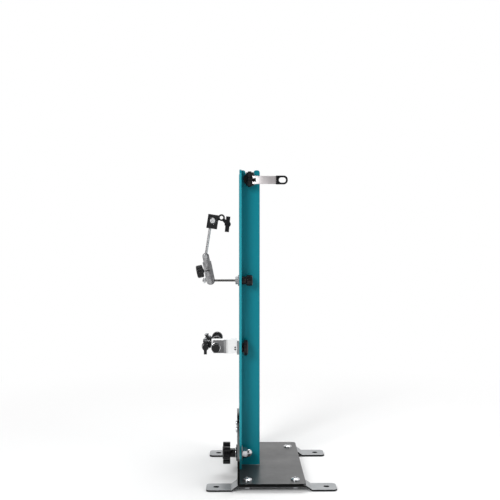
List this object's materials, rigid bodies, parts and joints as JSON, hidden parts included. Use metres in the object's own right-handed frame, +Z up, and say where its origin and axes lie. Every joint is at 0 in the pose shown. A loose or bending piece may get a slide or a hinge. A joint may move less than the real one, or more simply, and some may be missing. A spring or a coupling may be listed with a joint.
{
  "type": "bicycle wheel truing stand",
  "caption": "Bench stand that holds a bicycle wheel by its axle between two slotted uprights, with adjustable rim and disc rotor gauges.",
  "frame": {"origin": "middle of the four floor holes, at floor level", "axes": "+Z up, +Y along the wheel's axle from the sliding upright to the fixed one, +X to the right seen from the sliding upright"},
  "size_m": [0.1989, 0.2235, 0.4485],
  "materials": {
    "black_powder_coat": "fine textured black powder coat on folded sheet steel",
    "teal_powder_coat": "smooth satin teal powder coat on folded sheet steel",
    "zinc_steel": "bright zinc plated strip",
    "chrome_hardware": "bright plated bolts and nuts",
    "black_plastic": "moulded black nylon with fine grain",
    "black_steel": "black oxidised steel",
    "bright_steel": "turned bright steel",
    "cast_aluminium": "satin machined aluminium",
    "lever_alloy": "forged and polished aluminium lever"
  },
  "bodies": {
    "base": {"base_plate": "black_powder_coat", "front_foot_strip": "zinc_steel", "rear_foot_strip": "zinc_steel", "base_bolts": "chrome_hardware", "base_nuts": "chrome_hardware", "far_upright": "teal_powder_coat", "far_upright_bolts": "chrome_hardware", "far_upright_nuts": "chrome_hardware", "skewer_nut": "black_steel"},
    "near_upright": {"near_upright": "teal_powder_coat", "clamp_stud": "bright_steel", "clamp_disc_washer": "black_plastic", "clamp_knob_washer": "chrome_hardware", "clamp_nut_washer": "chrome_hardware", "clamp_acorn_nut": "chrome_hardware", "skewer_cap": "black_steel"},
    "star_knob": {"star_knob": "black_plastic"},
    "skewer": {"skewer_rod": "bright_steel"},
    "lever": {"lever_arm": "lever_alloy", "lever_tip": "black_plastic", "lever_pin": "bright_steel"},
    "rim_carriage": {"rim_gauge_plate": "bright_steel", "rim_gauge_block": "cast_aluminium", "rim_plate_screws": "black_steel"},
    "rim_lock": {"rim_lock_knob": "black_plastic", "rim_lock_stud": "bright_steel"},
    "cross_rod": {"cross_rod": "bright_steel", "cross_rod_ring": "chrome_hardware", "cross_rod_knob": "black_plastic"},
    "near_arm": {"near_feeler_arm": "black_steel", "near_arm_screws": "chrome_hardware"},
    "near_feeler": {"near_feeler_screw": "bright_steel"},
    "near_wing": {"near_feeler_wing": "black_plastic"},
    "far_arm": {"far_feeler_arm": "black_steel", "far_arm_screws": "chrome_hardware"},
    "far_feeler": {"far_feeler_screw": "bright_steel"},
    "far_wing": {"far_feeler_wing": "black_plastic"},
    "rotor_carriage": {"rotor_post": "black_steel", "rotor_flange_nut": "chrome_hardware", "post_end_nut": "chrome_hardware"},
    "rotor_lock": {"rotor_lock_knob": "black_plastic"},
    "swivel": {"swivel_clamp": "cast_aluminium", "elbow_screw": "chrome_hardware"},
    "swivel_lock": {"swivel_knob": "black_plastic"},
    "stem": {"stem_rod": "bright_steel"},
    "head": {"head_block": "black_steel", "head_bolt": "chrome_hardware"},
    "finger": {"finger_plate": "black_steel"},
    "touch_screw": {"touch_screw": "bright_steel"},
    "touch_wing": {"touch_wing": "black_plastic"}
  },
  "joints": [
    {"name": "near_upright_slide", "type": "slide", "parent": "base", "child": "near_upright", "axis": [0, -1, 0], "range_m": [0, 0.05]},
    {"name": "star_knob_turn", "type": "hinge", "parent": "near_upright", "child": "star_knob", "pos_m": [-0.06, -0.026, 0.034], "axis": [-1, 0, 0], "range_deg": [0, 360]},
    {"name": "skewer_draw", "type": "slide", "parent": "near_upright", "child": "skewer", "axis": [0, 1, 0], "range_m": [0, 0.00141]},
    {"name": "lever_swing", "type": "hinge", "parent": "skewer", "child": "lever", "pos_m": [-0.0293, -0.02331, 0.435], "axis": [0, 0, -1], "range_deg": [0, 93]},
    {"name": "rim_carriage_slide", "type": "slide", "parent": "near_upright", "child": "rim_carriage", "axis": [0, 0, 1], "range_m": [-0.084, 0.056]},
    {"name": "rim_lock_turn", "type": "hinge", "parent": "rim_carriage", "child": "rim_lock", "pos_m": [-0.036, -0.026, 0.189], "axis": [1, 0, 0], "range_deg": [0, 360]},
    {"name": "cross_rod_slide", "type": "slide", "parent": "rim_carriage", "child": "cross_rod", "axis": [0, 1, 0], "range_m": [-0.008, 0.008]},
    {"name": "near_arm_slide", "type": "slide", "parent": "cross_rod", "child": "near_arm", "axis": [0, -1, 0], "range_m": [0, 0.012]},
    {"name": "near_feeler_travel", "type": "slide", "parent": "near_arm", "child": "near_feeler", "axis": [0, 1, 0], "range_m": [-0.004, 0.004]},
    {"name": "near_wing_turn", "type": "hinge", "parent": "near_feeler", "child": "near_wing", "pos_m": [-0.0949, -0.026, 0.1858], "axis": [0, 1, 0], "range_deg": [-1890, 1890]},
    {"name": "far_arm_slide", "type": "slide", "parent": "cross_rod", "child": "far_arm", "axis": [0, 1, 0], "range_m": [0, 0.012]},
    {"name": "far_feeler_travel", "type": "slide", "parent": "far_arm", "child": "far_feeler", "axis": [0, -1, 0], "range_m": [-0.004, 0.004]},
    {"name": "far_wing_turn", "type": "hinge", "parent": "far_feeler", "child": "far_wing", "pos_m": [-0.0949, -0.026, 0.1858], "axis": [0, -1, 0], "range_deg": [-1890, 1890]},
    {"name": "rotor_carriage_slide", "type": "slide", "parent": "near_upright", "child": "rotor_carriage", "axis": [0, 0, 1], "range_m": [-0.015, 0.015]},
    {"name": "rotor_lock_turn", "type": "hinge", "parent": "rotor_carriage", "child": "rotor_lock", "pos_m": [-0.036, -0.026, 0.2875], "axis": [1, 0, 0], "range_deg": [0, 360]},
    {"name": "swivel_turn", "type": "hinge", "parent": "rotor_carriage", "child": "swivel", "pos_m": [-0.0862, -0.026, 0.2875], "axis": [1, 0, 0], "range_deg": [-30, 60]},
    {"name": "swivel_lock_turn", "type": "hinge", "parent": "swivel", "child": "swivel_lock", "pos_m": [-0.10115, -0.026, 0.30079], "axis": [0.9799, 0, 0.1994], "range_deg": [0, 360]},
    {"name": "elbow_turn", "type": "hinge", "parent": "swivel", "child": "stem", "pos_m": [-0.09342, -0.026, 0.32297], "axis": [0, 1, 0], "range_deg": [-40, 3]},
    {"name": "head_turn", "type": "hinge", "parent": "stem", "child": "head", "pos_m": [-0.08623, -0.026, 0.36942], "axis": [0.153, 0, 0.9882], "range_deg": [-15, 15]},
    {"name": "finger_turn", "type": "hinge", "parent": "head", "child": "finger", "pos_m": [-0.08292, -0.026, 0.37447], "axis": [0, 1, 0], "range_deg": [-25, 25]},
    {"name": "touch_travel", "type": "slide", "parent": "finger", "child": "touch_screw", "axis": [0, 1, 0], "range_m": [-0.0028, 0.0028]},
    {"name": "touch_turn", "type": "hinge", "parent": "touch_screw", "child": "touch_wing", "pos_m": [-0.06141, -0.026, 0.36947], "axis": [0, 1, 0], "range_deg": [-1512, 1512]}
  ],
  "couplings": [
    {"joint": "lever_swing", "follows": "skewer_draw", "rad_per_m": 1110.7},
    {"joint": "near_wing_turn", "follows": "near_feeler_travel", "rad_per_m": 7854},
    {"joint": "far_wing_turn", "follows": "far_feeler_travel", "rad_per_m": 7854},
    {"joint": "touch_turn", "follows": "touch_travel", "rad_per_m": 8976}
  ]
}
